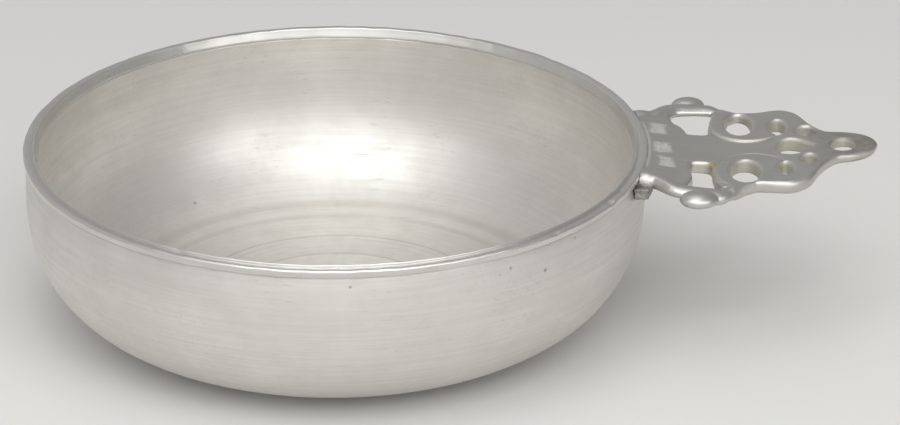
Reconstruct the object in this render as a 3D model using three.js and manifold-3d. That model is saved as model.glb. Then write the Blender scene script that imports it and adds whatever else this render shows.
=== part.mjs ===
// Porringer: a shallow round bowl with a moulded rim band and one flat pierced handle.
// Millimetres, +Z up. The bowl stands on z = 0 about the Z axis, and the handle points along +X.

import * as THREE from 'three';
import { mergeVertices } from 'three/addons/utils/BufferGeometryUtils.js';
import Module from 'manifold-3d';

const wasm = await Module();
wasm.setup();

// Clearance between pieces that are soldered together
const JOINT_GAP = 0.3;

// Rim band
const RIM_RADIUS = 72.5;
const RIM_HEIGHT = 42; // top of the rim's flat, above the table
const RIM_WIDTH = 3.5; // from the opening to the outside
const BAND_DEPTH = 1.9; // upright outer face
const BEAD_WIDTH = 1.3; // rounded bead around the opening
const BEAD_RISE = 0.5;
const RIM_GROOVE = 0.25; // depth of the turned groove beside the bead
const RIM_EDGE = 0.4; // rounding of the band's edges

// Bowl
const RIM_STEP = 1.2; // the rim band stands out from the wall by this much
const BELLY_SWELL = 0.9; // the widest place stands out from the neck by this much
const BELLY_HEIGHT = 31.2; // height of the widest place
const BASE_RADIUS = 40; // flat that the bowl stands on
const WALL = 1.6;
const FLOOR_THICKNESS = 2;
const FLOOR_SPREAD = 2; // the floor inside is wider than the base by this much
const BOSS_RADIUS = 34; // low round boss on the floor
const BOSS_RISE = 0.3;
const BOSS_EDGE = 1.5;
const BELLY_POWER = 2.27; // shape of the belly curve
const BELLY_ROUNDNESS = 2.21;

// Handle, whose distances are from the rim's outside
const HANDLE_REACH = 53.3; // to the tip
const HANDLE_THICKNESS = 2.9;
const HANDLE_EDGE = 0.9; // rounding of its outer edges
const HOLE_CHAMFER = 0.4; // on the edges of its openings
const HANDLE_HALF_WIDTH = 25.5; // at its widest, without the ears
const ROOT_HALF_WIDTH = 20.4;
const ROOT_DROP = 0.5; // the root's top lies this far below the rim's flat
const WAIST_DROP = 1.7; // the lowest place of the handle's top
const TIP_DROP = 0.1;
const WAIST_REACH = 17.5; // to the lowest place
const TIP_CURVE = 1.5; // how late the handle rises towards the tip
const STRAP_RISE = 0.45; // the scrolls stand proud of the plate
const SCROLL = { reach: 23.6, offset: 13.9, halfLength: 8.7, halfWidth: 10 };
const RAIL_RADIUS = 1.45; // round rail along each side, from the root to the scroll
const RAIL_RISE = 0.5; // the rails stand proud of the plate
const RAIL_INSET = 0.15; // from the outline to the rail
const RAIL_WIDTH = 3.1; // left between the outline and the large opening
const EAR = { reach: 10.6, halfLength: 4.35, halfWidth: 3.35, halfHeight: 1.75, depth: 1, overlap: 1.15 };

// Openings of the handle: reach to the centre, distance from the middle line, and half sizes
const SCROLL_HOLE = { reach: 21.9, offset: 13.7, halfLength: 3.1, halfWidth: 5.6 };
const LONG_HOLE = { reach: 31, offset: 12.2, halfLength: 1.6, halfWidth: 3.5 };
const SMALL_HOLE = { reach: 37.2, offset: 8.4, halfLength: 2, halfWidth: 2.4 };
const HANGING_HOLE = { reach: HANDLE_REACH - 8, offset: 0, halfLength: 2.9, halfWidth: 3.7 };
const LARGE_HOLE = { start: 7.3, length: 7.4, offset: 8.4 };
const DROP_HOLE = { start: 30.3, length: 8.5, halfWidth: 4.1 };

// Root joint
const SOLDER_THICKNESS = 0.5;
const SOLDER_RISE = 0.2; // the solder stands above the root by this much
const BRACKET_DEPTH = 2.2;
const BRACKET_REACH = 2.8; // how far the bracket stands out from the rim's outside
const BRACKET_EDGE = 0.7;

// Fineness of the curved surfaces
const ROUND_SEGMENTS = 90;
const BELLY_STEPS = 12;
const NECK_STEPS = 3;
const BEAD_STEPS = 6;
const OUTLINE_STEPS = 84;
const PLATE_FACET = 9; // longest edge on the handle's faces
const HOLE_STEPS = 16;
const RAIL_SIDES = 12;
const RAIL_STEPS = 24;
const EAR_STEPS = 8;

const neckRadius = RIM_RADIUS - RIM_STEP;
const bellyRadius = neckRadius + BELLY_SWELL;
const seatHeight = RIM_HEIGHT - BAND_DEPTH;
const solderInside = RIM_RADIUS + JOINT_GAP;
const handleInside = solderInside + SOLDER_THICKNESS + JOINT_GAP;

// Solids and meshes

// One closed mesh: corners at the same place are welded and flat triangles left out
function closedGeometry(geometry) {
  const welded = geometry.clone();
  welded.deleteAttribute('normal');
  welded.deleteAttribute('uv');
  const merged = mergeVertices(welded, 1e-4);
  const corners = merged.index.array;
  const kept = [];
  for (let i = 0; i < corners.length; i += 3) {
    const [a, b, c] = [corners[i], corners[i + 1], corners[i + 2]];
    if (a !== b && b !== c && c !== a) kept.push(a, b, c);
  }
  merged.setIndex(kept);
  return merged;
}

function solidFrom(geometry) {
  const closed = closedGeometry(geometry);
  const mesh = new wasm.Mesh({
    numProp: 3,
    vertProperties: new Float32Array(closed.attributes.position.array),
    triVerts: new Uint32Array(closed.index.array),
  });
  return new wasm.Manifold(mesh);
}

function geometryFrom(solid) {
  const { vertProperties, triVerts } = solid.getMesh();
  const geometry = new THREE.BufferGeometry();
  geometry.setAttribute('position', new THREE.BufferAttribute(vertProperties, 3));
  geometry.setIndex(new THREE.BufferAttribute(triVerts, 1));
  geometry.computeVertexNormals();
  return geometry;
}

// A profile of [radius, height] points, turned about the Z axis
function turned(profile, segments = ROUND_SEGMENTS) {
  const points = profile.map(([radius, height]) => new THREE.Vector2(radius, height));
  return new THREE.LatheGeometry(points, segments).rotateX(Math.PI / 2);
}

// A ring of the given closed section, kept only beside the handle's root
function rootSector(section, halfWidth) {
  const ring = solidFrom(turned(section));
  const length = 2 * RIM_RADIUS;
  const slab = new THREE.BoxGeometry(length, 2 * halfWidth, 4 * RIM_HEIGHT).translate(length / 2, 0, 0);
  return geometryFrom(ring.intersect(solidFrom(slab)));
}

// Bowl

// From the edge of a flat bottom up to the widest place
function bellyCurve(bottomRadius, bottomHeight, wideRadius) {
  const points = [];
  for (let i = 0; i <= BELLY_STEPS; i++) {
    const fall = Math.cos((i / BELLY_STEPS) * (Math.PI / 2));
    const swell = (1 - fall ** BELLY_POWER) ** (1 / BELLY_ROUNDNESS);
    const radius = bottomRadius + (wideRadius - bottomRadius) * swell;
    points.push([radius, BELLY_HEIGHT - (BELLY_HEIGHT - bottomHeight) * fall]);
  }
  return points;
}

// Outside radius of the wall between the widest place and the rim's seat
function neckRadiusAt(height) {
  const climb = (height - BELLY_HEIGHT) / (seatHeight - BELLY_HEIGHT);
  return bellyRadius - BELLY_SWELL * climb ** 2;
}

function neckCurve(inset) {
  const points = [];
  for (let i = 1; i <= NECK_STEPS; i++) {
    const height = BELLY_HEIGHT + ((seatHeight - BELLY_HEIGHT) * i) / NECK_STEPS;
    points.push([neckRadiusAt(height) - inset, height]);
  }
  return points;
}

function bowlBody() {
  const outside = [...bellyCurve(BASE_RADIUS, 0, bellyRadius), ...neckCurve(0)];
  const floorRadius = BASE_RADIUS + FLOOR_SPREAD;
  const inside = [...bellyCurve(floorRadius, FLOOR_THICKNESS, bellyRadius - WALL), ...neckCurve(WALL)];
  const boss = [
    [BOSS_RADIUS, FLOOR_THICKNESS],
    [BOSS_RADIUS - BOSS_EDGE, FLOOR_THICKNESS + BOSS_RISE],
    [0, FLOOR_THICKNESS + BOSS_RISE],
  ];
  return turned([[0, 0], ...outside, ...inside.reverse(), ...boss]);
}

// Rim band: bead around the opening, groove, flat and upright outer band
function rimBand() {
  const inner = RIM_RADIUS - RIM_WIDTH;
  const grooveHeight = RIM_HEIGHT - RIM_GROOVE;
  const bead = [];
  for (let i = 0; i <= BEAD_STEPS; i++) {
    const angle = (i / BEAD_STEPS) * Math.PI;
    bead.push([
      inner + (BEAD_WIDTH / 2) * (1 + Math.cos(angle)),
      grooveHeight + (BEAD_RISE + RIM_GROOVE) * Math.sin(angle),
    ]);
  }
  return turned([
    [inner, seatHeight],
    [RIM_RADIUS - RIM_EDGE, seatHeight],
    [RIM_RADIUS, seatHeight + RIM_EDGE],
    [RIM_RADIUS, RIM_HEIGHT - RIM_EDGE],
    [RIM_RADIUS - RIM_EDGE, RIM_HEIGHT],
    [inner + BEAD_WIDTH + RIM_GROOVE, grooveHeight],
    ...bead,
    [inner, seatHeight],
  ]);
}

// Handle

// Height of the handle's top: it dips from the root to the waist and rises again to the tip
function handleTop(x) {
  const reach = x - RIM_RADIUS;
  if (reach < WAIST_REACH) {
    const back = (WAIST_REACH - reach) / WAIST_REACH;
    return RIM_HEIGHT - WAIST_DROP + (WAIST_DROP - ROOT_DROP) * back ** 2;
  }
  const out = (reach - WAIST_REACH) / (HANDLE_REACH - WAIST_REACH);
  return RIM_HEIGHT - WAIST_DROP + (WAIST_DROP - TIP_DROP) * out ** TIP_CURVE;
}

// One side of the outline, root to tip: shares of the handle's reach and of its half width
function outlineSide() {
  const root = ROOT_HALF_WIDTH / HANDLE_HALF_WIDTH;
  const shares = [
    [-0.11, root], [-0.04, root], [0.02, root], [0.075, 0.88], [0.122, 0.965], [0.2, 0.994], [0.29, 1],
    [0.338, 0.957], [0.378, 0.894], [0.414, 0.86], [0.479, 0.816], [0.524, 0.827], [0.585, 0.863],
    [0.626, 0.85], [0.667, 0.769], [0.705, 0.612], [0.758, 0.4], [0.795, 0.333], [0.846, 0.298],
    [0.908, 0.27], [0.953, 0.204], [0.984, 0.11],
  ];
  return shares.map(([along, out]) => [HANDLE_REACH * along, HANDLE_HALF_WIDTH * out]);
}

// A smooth line through one side's points, an end point on the middle line and the points' mirror image
function mirroredSpline(side, end, steps) {
  const right = side.map(([reach, width]) => new THREE.Vector2(RIM_RADIUS + reach, -width));
  const left = side.map(([reach, width]) => new THREE.Vector2(RIM_RADIUS + reach, width)).reverse();
  const through = [...right, new THREE.Vector2(RIM_RADIUS + end, 0), ...left];
  return new THREE.SplineCurve(through).getPoints(steps);
}

// Oval from its reach, offset and half sizes; side is 1 or -1
function oval({ reach, offset, halfLength, halfWidth }, side = 1) {
  const path = new THREE.Path();
  path.absellipse(RIM_RADIUS + reach, side * offset, halfLength, halfWidth, 0, 2 * Math.PI);
  return path.getPoints(HOLE_STEPS).slice(0, -1);
}

// Large opening beside the root: shares of its length and of its width, up to the rail. The plate's
// rounded lobe is on its bowl side.
function largeHole(side) {
  const width = HANDLE_HALF_WIDTH - RAIL_WIDTH - LARGE_HOLE.offset;
  const shares = [
    [0, 0.86], [0.05, 0.7], [0.14, 0.55], [0.24, 0.33], [0.3, 0.12], [0.33, 0.03], [0.43, 0], [0.87, 0],
    [0.96, 0.05], [0.97, 0.49], [1, 0.85], [0.92, 0.97], [0.5, 1], [0.1, 0.96], [0, 0.86],
  ];
  const points = shares.map(([along, out]) => new THREE.Vector2(
    RIM_RADIUS + LARGE_HOLE.start + LARGE_HOLE.length * along,
    side * (LARGE_HOLE.offset + width * out),
  ));
  return new THREE.SplineCurve(points).getPoints(2 * HOLE_STEPS).slice(0, -1);
}

// Drop in the middle, round towards the bowl and pointed towards the tip: shares of its length and half width
function dropHole() {
  const shares = [[0, 0.12], [0.06, 0.5], [0.2, 0.88], [0.38, 1], [0.6, 0.85], [0.8, 0.48], [0.95, 0.16]];
  const side = shares.map(([along, out]) => [
    DROP_HOLE.start + DROP_HOLE.length * along,
    DROP_HOLE.halfWidth * out,
  ]);
  return mirroredSpline(side, DROP_HOLE.start + DROP_HOLE.length, 2 * HOLE_STEPS);
}

// Straight cutter for an opening, wider above and below the plate so that the edges come out chamfered
function holeCutter(points, topFace = 0) {
  const shape = new THREE.Shape(points);
  const below = -2 * HANDLE_THICKNESS;
  const straight = new THREE.ExtrudeGeometry(shape, { depth: 3 * HANDLE_THICKNESS, bevelEnabled: false });
  let cutter = solidFrom(straight.translate(0, 0, below));
  for (const start of [topFace, below]) {
    const wide = new THREE.ExtrudeGeometry(shape, {
      depth: HANDLE_THICKNESS,
      bevelThickness: HOLE_CHAMFER,
      bevelSize: HOLE_CHAMFER,
      bevelSegments: 1,
    });
    cutter = cutter.add(solidFrom(wide.translate(0, 0, start)));
  }
  return cutter;
}

// Flat solid with the handle's outline, rounded at its edges, from below the plate's top to the given rise
function plate(rise = 0) {
  const shape = new THREE.Shape(mirroredSpline(outlineSide(), HANDLE_REACH, OUTLINE_STEPS));
  const body = new THREE.ExtrudeGeometry(shape, {
    depth: HANDLE_THICKNESS + rise - 2 * HANDLE_EDGE,
    bevelThickness: HANDLE_EDGE,
    bevelSize: HANDLE_EDGE,
    bevelOffset: -HANDLE_EDGE,
    bevelSegments: 2,
  });
  return solidFrom(body.translate(0, 0, HANDLE_EDGE - HANDLE_THICKNESS));
}

// Scroll around an opening, proud of the plate and kept inside its outline
function scroll(side) {
  const shape = new THREE.Shape(oval(SCROLL, side));
  const ring = new THREE.ExtrudeGeometry(shape, {
    depth: HANDLE_THICKNESS / 2,
    bevelThickness: STRAP_RISE,
    bevelSize: STRAP_RISE,
    bevelOffset: -STRAP_RISE,
    bevelSegments: 1,
  });
  return solidFrom(ring.translate(0, 0, -HANDLE_THICKNESS / 2)).intersect(plate(STRAP_RISE));
}

// Round rail along the outline, from inside the root to the scroll
function rail(side) {
  const middle = HANDLE_HALF_WIDTH - RAIL_INSET - RAIL_RADIUS;
  const root = (ROOT_HALF_WIDTH - RAIL_INSET - RAIL_RADIUS) / middle;
  const shares = [
    [-0.03, root], [0.02, root], [0.075, 0.87], [0.122, 0.965], [0.2, 1], [0.29, 0.995], [0.338, 0.94],
    [0.378, 0.87], [0.42, 0.79],
  ];
  const height = RAIL_RISE - RAIL_RADIUS;
  const path = new THREE.CatmullRomCurve3(shares.map(([along, out]) => new THREE.Vector3(
    RIM_RADIUS + HANDLE_REACH * along,
    side * middle * out,
    height,
  )));
  const section = new THREE.Shape(new THREE.Path().absarc(0, 0, RAIL_RADIUS, 0, 2 * Math.PI)
    .getPoints(RAIL_SIDES).slice(0, -1));
  return solidFrom(new THREE.ExtrudeGeometry(section, { steps: RAIL_STEPS, extrudePath: path }));
}

// Flat oval ear knob on the outside of a rail
function ear(side) {
  const knob = new THREE.SphereGeometry(1, 2 * EAR_STEPS, EAR_STEPS).rotateX(Math.PI / 2);
  const offset = HANDLE_HALF_WIDTH - EAR.overlap + EAR.halfWidth;
  knob.scale(EAR.halfLength, EAR.halfWidth, EAR.halfHeight);
  return solidFrom(knob.translate(RIM_RADIUS + EAR.reach, side * offset, -EAR.depth));
}

// Bends a flat solid, with its top face at z = 0, along the curve of the handle's top
function dished(solid) {
  return solid.warp((vertex) => {
    vertex[2] += handleTop(vertex[0]);
  });
}

function handle() {
  let solid = dished(plate().refineToLength(PLATE_FACET));
  const cutters = [holeCutter(dropHole()), holeCutter(oval(HANGING_HOLE))];
  for (const side of [1, -1]) {
    for (const added of [scroll(side), rail(side), ear(side)]) solid = solid.add(dished(added));
    cutters.push(holeCutter(largeHole(side)));
    cutters.push(holeCutter(oval(SCROLL_HOLE, side), STRAP_RISE));
    cutters.push(holeCutter(oval(LONG_HOLE, side)));
    cutters.push(holeCutter(oval(SMALL_HOLE, side)));
  }
  for (const cutter of cutters) solid = solid.subtract(dished(cutter));
  const bowlSide = [[0, 0], [handleInside, 0], [handleInside, 2 * RIM_HEIGHT], [0, 2 * RIM_HEIGHT]];
  return geometryFrom(solid.subtract(solidFrom(turned(bowlSide))));
}

// Line of solder between the rim band and the root
function rootSolder() {
  const top = handleTop(handleInside) + SOLDER_RISE;
  const bottom = handleTop(handleInside) - HANDLE_THICKNESS;
  const outside = solderInside + SOLDER_THICKNESS;
  const section = [
    [solderInside, bottom],
    [outside, bottom],
    [outside, top - SOLDER_RISE],
    [solderInside, top],
    [solderInside, bottom],
  ];
  return rootSector(section, ROOT_HALF_WIDTH - HANDLE_EDGE);
}

// Ledge under the root, against the wall
function rootBracket() {
  const outside = RIM_RADIUS + BRACKET_REACH;
  const top = handleTop(outside) - HANDLE_THICKNESS - JOINT_GAP;
  const bottom = top - BRACKET_DEPTH;
  const section = [
    [neckRadiusAt(bottom) + JOINT_GAP, bottom],
    [outside - BRACKET_EDGE, bottom],
    [outside, bottom + BRACKET_EDGE],
    [outside, top],
    [neckRadiusAt(top) + JOINT_GAP, top],
    [neckRadiusAt(bottom) + JOINT_GAP, bottom],
  ];
  return rootSector(section, ROOT_HALF_WIDTH);
}

// Assembly

const pewter = new THREE.MeshStandardMaterial({ color: 0xc9c6bf, roughness: 0.34, metalness: 1 });
const darkPewter = new THREE.MeshStandardMaterial({ color: 0x8f8b82, roughness: 0.45, metalness: 1 });
const solder = new THREE.MeshStandardMaterial({ color: 0xa9a69d, roughness: 0.5, metalness: 1 });

function named(name, geometry, material) {
  const mesh = new THREE.Mesh(geometry, material);
  mesh.name = name;
  return mesh;
}

const porringer = new THREE.Group();
porringer.name = 'porringer';
porringer.add(
  named('bowl_body', closedGeometry(bowlBody()), pewter),
  named('rim_band', closedGeometry(rimBand()), pewter),
  named('handle', handle(), pewter),
  named('root_solder', rootSolder(), solder),
  named('root_bracket', rootBracket(), darkPewter),
);

export default porringer;
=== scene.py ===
"""Porringer in worn pewter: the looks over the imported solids. Metres, +Z up, handle along +X."""

import math

import bpy
import numpy as np
from mathutils import Matrix, Vector


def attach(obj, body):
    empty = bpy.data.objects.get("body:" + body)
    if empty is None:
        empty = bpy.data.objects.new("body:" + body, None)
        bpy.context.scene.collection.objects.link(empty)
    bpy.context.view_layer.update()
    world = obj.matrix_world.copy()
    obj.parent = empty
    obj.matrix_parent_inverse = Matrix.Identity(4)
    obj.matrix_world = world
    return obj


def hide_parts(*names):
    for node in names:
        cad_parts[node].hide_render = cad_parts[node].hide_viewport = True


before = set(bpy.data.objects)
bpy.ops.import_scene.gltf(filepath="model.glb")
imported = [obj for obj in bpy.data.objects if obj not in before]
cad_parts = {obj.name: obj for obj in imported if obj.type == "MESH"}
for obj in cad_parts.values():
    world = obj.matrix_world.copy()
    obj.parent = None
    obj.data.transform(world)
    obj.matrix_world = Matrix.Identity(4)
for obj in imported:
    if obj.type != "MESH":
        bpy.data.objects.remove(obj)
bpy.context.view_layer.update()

MM = 0.001
TINY = 1e-12
FAR_AWAY = 1e9

# Shared sizes, in millimetres, as in the solids
RIM_RADIUS = 72.5
RIM_HEIGHT = 42.0
RIM_WIDTH = 3.5
BAND_DEPTH = 1.9
BEAD_WIDTH = 1.3
BEAD_RISE = 0.5
SEAT_HEIGHT = RIM_HEIGHT - BAND_DEPTH
NECK_RADIUS = 71.3
BELLY_RADIUS = 72.2
BELLY_HEIGHT = 31.2
BELLY_POWER = 2.27
BELLY_ROUNDNESS = 2.21
BASE_RADIUS = 40.0
WALL = 1.6
FLOOR_THICKNESS = 2.0
FLOOR_RADIUS = 42.0
HANDLE_THICKNESS = 2.9
SOLDER_INSIDE = 72.8
HANDLE_INSIDE = 72.4


# Meshes

def mesh_object(name, points, faces, smooth=True):
    mesh = bpy.data.meshes.new(name)
    mesh.from_pydata([tuple(p) for p in np.asarray(points) * MM], [], [tuple(f) for f in faces])
    mesh.validate()
    mesh.update()
    if smooth:
        mesh.polygons.foreach_set("use_smooth", np.ones(len(mesh.polygons), dtype=bool))
    piece = bpy.data.objects.new(name, mesh)
    bpy.context.scene.collection.objects.link(piece)
    return piece


def turned(name, profile, segments, shape):
    """Turns [radius, height] points about Z; a profile that closes on itself gives a ring."""
    profile = np.asarray(profile, dtype=float)
    ring = np.allclose(profile[0], profile[-1])
    rows = profile[:-1] if ring else profile
    angles = np.arange(segments) * (2 * math.pi / segments)
    points = []
    index = []
    for radius, height in rows:
        start = len(points)
        if radius < TINY:
            index.append([start] * segments)
            points.append((0.0, 0.0, height))
            continue
        index.append(list(range(start, start + segments)))
        points += [(radius * math.cos(angle), radius * math.sin(angle), height) for angle in angles]
    faces = []
    for low, high in zip(index, index[1:] + index[:1] if ring else index[1:]):
        for k in range(segments):
            n = (k + 1) % segments
            face = list(dict.fromkeys([low[k], low[n], high[n], high[k]]))
            if len(face) > 2:
                faces.append(face)
    return mesh_object(name, shape(np.array(points)), faces)


def arc(centre, radius_x, radius_z, start, end, steps):
    """Points of an elliptical arc in a profile, angles in degrees."""
    angles = np.radians(np.linspace(start, end, steps + 1))
    return [(centre[0] + radius_x * math.cos(a), centre[1] + radius_z * math.sin(a)) for a in angles]


def soft_waves(points, size, seed, amount, waves=24):
    """Smooth random unevenness, the same each run, as an offset for each point."""
    rng = np.random.default_rng(seed)
    total = np.zeros(len(points))
    for _ in range(waves):
        direction = rng.normal(size=3)
        direction *= (2 * math.pi / size) * rng.uniform(0.5, 1.6) / np.linalg.norm(direction)
        total += np.sin(points @ direction + rng.uniform(0, 2 * math.pi))
    return total * amount / math.sqrt(waves / 2)


def dent(points, place, reach, depth):
    """How far points near a place are pushed."""
    away = np.linalg.norm(points - np.array(place), axis=1) / reach
    return depth * np.exp(-away ** 2)


# Bowl

PROFILE_STEPS = 56
NECK_STEPS = 10
NECK_THICKENING = 0.6
UNDERSIDE = [(0, 0), (12, 0), (26, 0), (36, 0)]
FLOOR_BOSS = [(38, 2.02), (35.6, 2.06), (34.9, 2.16), (34.2, 2.26), (32, 2.3)]
FLOOR_GROOVE = [(25, 2.3), (24.5, 2.2), (24, 2.3), (12, 2.3), (0, 2.3)]

# The wall's unevenness begins on the belly and ends below the rim
WEAR_RADIUS = 52
WEAR_RADIUS_BLEND = 14
WEAR_HEIGHT_BLEND = 6
WALL_WAVES = {"size": 34, "seed": 5, "amount": 0.07}
WALL_LOSS = 0.1

# Dents: place, reach and depth. The first is in the inside alone.
INSIDE_DENT = ((-35.7, 45.7, 5.9), 2.6, 0.22)
INSIDE_ABOVE = 1.5
WALL_DENTS = (((46, -49, 24), 7, 0.25), ((-22, -68, 22), 9, 0.2))


def belly(bottom_radius, bottom_height, wide_radius):
    points = []
    for i in range(PROFILE_STEPS + 1):
        fall = math.cos((i / PROFILE_STEPS) * math.pi / 2)
        swell = (1 - fall ** BELLY_POWER) ** (1 / BELLY_ROUNDNESS)
        height = BELLY_HEIGHT - (BELLY_HEIGHT - bottom_height) * fall
        points.append((bottom_radius + (wide_radius - bottom_radius) * swell, height))
    return points


def neck(inset, thicker=0.0):
    points = []
    for i in range(1, NECK_STEPS + 1):
        climb = i / NECK_STEPS
        radius = BELLY_RADIUS - (BELLY_RADIUS - NECK_RADIUS + thicker) * climb ** 2 - inset
        points.append((radius, BELLY_HEIGHT + (SEAT_HEIGHT - BELLY_HEIGHT) * climb))
    return points


def bowl_profile():
    outside = belly(BASE_RADIUS, 0, BELLY_RADIUS) + neck(0)
    inside = belly(FLOOR_RADIUS, FLOOR_THICKNESS, BELLY_RADIUS - WALL) + neck(WALL, NECK_THICKENING)
    return UNDERSIDE + outside + inside[::-1] + FLOOR_BOSS + FLOOR_GROOVE


def worn_bowl(points):
    radius = np.hypot(points[:, 0], points[:, 1])
    wall = np.clip((radius - WEAR_RADIUS) / WEAR_RADIUS_BLEND, 0, 1)
    wall *= np.clip((SEAT_HEIGHT - points[:, 2]) / WEAR_HEIGHT_BLEND, 0, 1)
    push = soft_waves(points, **WALL_WAVES) * wall - WALL_LOSS * wall
    push += dent(points, *INSIDE_DENT) * (points[:, 2] > INSIDE_ABOVE)
    for mark in WALL_DENTS:
        push -= dent(points, *mark)
    keep = radius > TINY
    scale = np.ones(len(points))
    scale[keep] = (radius[keep] + push[keep]) / radius[keep]
    moved = points.copy()
    moved[:, :2] *= scale[:, None]
    return moved


bowl = turned("bowl_turned", bowl_profile(), 360, worn_bowl)


# Rim

BEAD_CROWN = 1.05
BEAD_CROWN_RADII = (0.32, 0.45)
FLAT_DROP = 0.08

# The bead's inner face: in from the rim's inner edge, and down from its top
INNER_FACE = ((0.62, 0.25), (0.4, 0.8), (0.18, 1.3), (0.05, 1.65), (0.05, BAND_DEPTH))

# Chips: degrees round from the handle, radius, reach and depth
RIM_MIDDLE = RIM_RADIUS - 0.6
RIM_CHIPS = (
    (-29, RIM_MIDDLE, 1.1, 0.5), (-31.5, RIM_MIDDLE, 0.8, 0.35), (-46, RIM_MIDDLE, 0.9, 0.3),
    (-24, 70.2, 0.8, 0.3), (64, RIM_MIDDLE, 1.0, 0.25), (58, 70, 0.9, 0.25), (-118, 70, 1.2, 0.2),
)
CHIPS_ABOVE = SEAT_HEIGHT + 0.6


def worn_rim(points):
    """Small unevenness of the hand-finished bead and band."""
    radius = np.hypot(points[:, 0], points[:, 1])
    top = points[:, 2] > RIM_HEIGHT - 0.3
    push = soft_waves(points, size=9, seed=11, amount=0.035) - 0.05
    push = np.where(radius > RIM_RADIUS - 0.5, np.minimum(push, 0), push)
    moved = points.copy()
    moved[:, :2] *= ((radius + push) / radius)[:, None]
    lift = soft_waves(points, size=6, seed=12, amount=0.03) - 0.04
    moved[:, 2] += np.where(top, np.minimum(lift, 0), 0)
    for degrees, chip_radius, reach, depth in RIM_CHIPS:
        angle = math.radians(degrees)
        place = (chip_radius * math.cos(angle), chip_radius * math.sin(angle), RIM_HEIGHT)
        moved[:, 2] -= dent(points, place, reach, depth) * (points[:, 2] > CHIPS_ABOVE)
    return moved


def rim_profile():
    inner = RIM_RADIUS - RIM_WIDTH
    flat = RIM_HEIGHT - FLAT_DROP
    crown = inner + BEAD_CROWN
    crest = flat + BEAD_RISE
    points = [(inner + 0.05, SEAT_HEIGHT), (NECK_RADIUS, SEAT_HEIGHT)]
    points += arc((RIM_RADIUS - 0.5, SEAT_HEIGHT + 0.5), 0.5, 0.5, -90, 0, 5)
    points += [(RIM_RADIUS, RIM_HEIGHT - 1.1), (RIM_RADIUS, RIM_HEIGHT - 0.8)]
    points += arc((RIM_RADIUS - 0.55, RIM_HEIGHT - 0.55), 0.55, 0.55, 0, 90, 6)
    points += [(RIM_RADIUS - 1.0, RIM_HEIGHT - 0.02), (RIM_RADIUS - 1.5, flat)]
    points += [(inner + BEAD_WIDTH + 0.35, flat - 0.06), (inner + BEAD_WIDTH + 0.12, flat - 0.16)]
    points += arc((crown, flat - 0.15), inner + BEAD_WIDTH - crown + 0.03, crest - flat + 0.15, 0, 80, 5)
    points += arc((crown, crest - BEAD_CROWN_RADII[1]), *BEAD_CROWN_RADII, 90, 160, 5)
    points += [(inner + across, RIM_HEIGHT - down) for across, down in INNER_FACE]
    return points


rim = turned("rim_moulding", rim_profile(), 540, worn_rim)


# Handle: lines. Far is the half at +Y, near the half at -Y; the two halves aren't quite even.

# Depths of the plate's upper side under the rim's top, and how far out from the rim they are
PLATE_DROP = 1.7
ROOT_DROP = 0.5
TIP_DROP = 0.1
WAIST_REACH = 17.5
TIP_REACH = 53.3

# Middle line of the rounded border: x and distance from the middle
FAR_BORDER = (
    (66, 18.4), (70, 18.4), (74, 18.7), (76.4, 20.8), (79.3, 23.2), (83, 23.8), (87.2, 24.0), (89.4, 23.5),
    (92.4, 21.9), (94.1, 21.1), (97, 20.8), (100, 20.8), (102.1, 20.9), (104, 20.9), (105.9, 20.3),
    (107.6, 18.7), (109, 15.6), (110, 13.0), (111.9, 9.8), (113.5, 7.9), (115.6, 7.0), (118.7, 6.5),
    (121.5, 5.5), (123.3, 4.1), (124.6, 2.2), (125.15, 0),
)
NEAR_BORDER = (
    (66, 17.6), (70, 17.6), (72.6, 18.0), (74.2, 19.0), (75.9, 20.6), (78.6, 23.1), (83, 24.1), (87.3, 24.7),
    (89.5, 24.2), (91.6, 23.0), (93.6, 21.3), (95.3, 20.0), (96.6, 19.3), (98.6, 19.5), (101.5, 20.0),
    (104.2, 20.4), (106.1, 19.8), (107.9, 18.4), (109, 16.8), (110, 14.5), (111, 12.2), (112.1, 10.2),
    (113.4, 8.4), (115.1, 6.9), (116.6, 6.2), (119.5, 5.7), (122.4, 4.5), (124.2, 2.6), (125.15, 0),
)
BORDER_WIDTH = 0.9

# Height of the rails' middle line from the rim's top, and their half sizes, along X
RAIL_MIDDLE = (
    (66, -1.8), (72, -1.9), (76, -2.05), (79, -2.3), (84, -2.4), (87, -2.55), (89.5, -2.7), (92, -2.85),
    (95, -2.95), (100, -2.75),
)
RAIL_HALF_WIDTH = ((72, 2.0), (76, 2.3), (80, 2.35), (87, 2.3), (91, 1.8), (96, 1.5))
RAIL_HALF_HEIGHT = ((72, 1.7), (76, 1.6), (79, 1.4), (84, 1.12), (88, 1.17), (91, 1.3), (96, 1.3))

# Radius of the plate's upper outside edge, along X
FAR_EDGE = ((117, 0.7), (121, 1.1))
NEAR_EDGE = ((66, 0.8), (93, 0.9), (99, 1.0), (102, 1.5), (107, 1.5), (111, 0.9), (114, 0.8), (121, 1.1))

# Large openings and half of the drop
FAR_LARGE_HOLE = (
    (82.3, 8.9), (82.0, 10.3), (81.0, 12.9), (79.5, 15.4), (78.7, 18.0), (78.9, 20.6), (80.2, 23.0),
    (84.0, 24.0), (87.8, 24.0), (88.3, 22.0), (87.6, 18.0), (87.1, 14.0), (87.0, 10.4), (86.2, 8.8),
    (84.4, 8.5),
)
NEAR_LARGE_HOLE = (
    (82.3, 8.8), (82.2, 12.0), (82.4, 15.0), (82.1, 17.0), (81.4, 19.0), (80.7, 21.5), (81.0, 23.8),
    (84.0, 24.2), (87.6, 24.2), (88.2, 22.0), (87.3, 18.0), (86.9, 14.0), (86.8, 10.4), (86.0, 8.9),
    (84.3, 8.5),
)
DROP_SIDE = (
    (102.9, 0.5), (103.3, 2.3), (104.3, 3.6), (105.8, 4.0), (107.6, 3.3), (109.3, 1.9), (110.6, 0.6),
)
DROP_POINT = (111.0, 0)


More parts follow.
